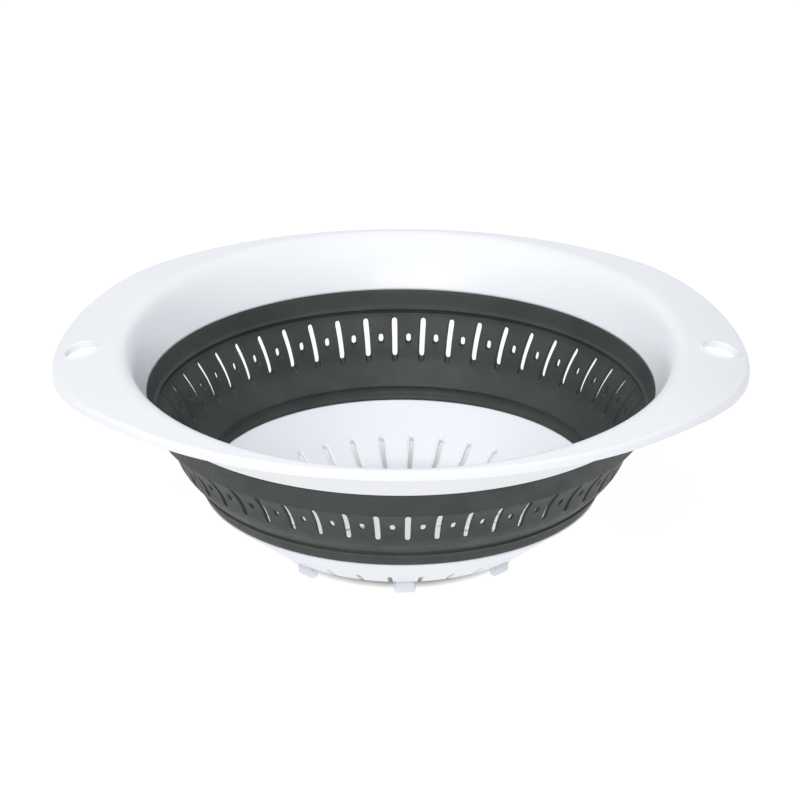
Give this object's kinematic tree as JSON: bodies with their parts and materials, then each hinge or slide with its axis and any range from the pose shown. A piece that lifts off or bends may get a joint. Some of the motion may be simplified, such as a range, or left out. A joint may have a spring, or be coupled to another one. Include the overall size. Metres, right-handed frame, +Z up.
{
  "type": "collapsible colander",
  "caption": "Folding kitchen colander: rigid oval rim with two holed ears, soft slotted wall that folds flat, and a rigid strainer base on feet.",
  "frame": {"origin": "centre of the base, on the surface that the feet stand on", "axes": "+Z up out of the bowl, +X towards the right-hand ear (the longest way), +Y to the back"},
  "size_m": [0.29, 0.2584, 0.0878],
  "materials": {
    "white_plastic": "satin white moulded polypropylene",
    "soft_wall": "matt charcoal thermoplastic rubber"
  },
  "bodies": {
    "base": {"base_strainer": "white_plastic", "wall_lower_band": "soft_wall", "wall_lower_fold": "soft_wall"},
    "rim": {"rim_frame": "white_plastic", "wall_upper_band": "soft_wall", "wall_upper_fold": "soft_wall", "wall_slotted_band": "soft_wall"}
  },
  "joints": [
    {"name": "collapse", "type": "slide", "parent": "base", "child": "rim", "axis": [0, 0, -1], "range_m": [0, 0.057], "deforming": ["wall_slotted_band", "wall_upper_fold", "wall_lower_fold"]}
  ]
}
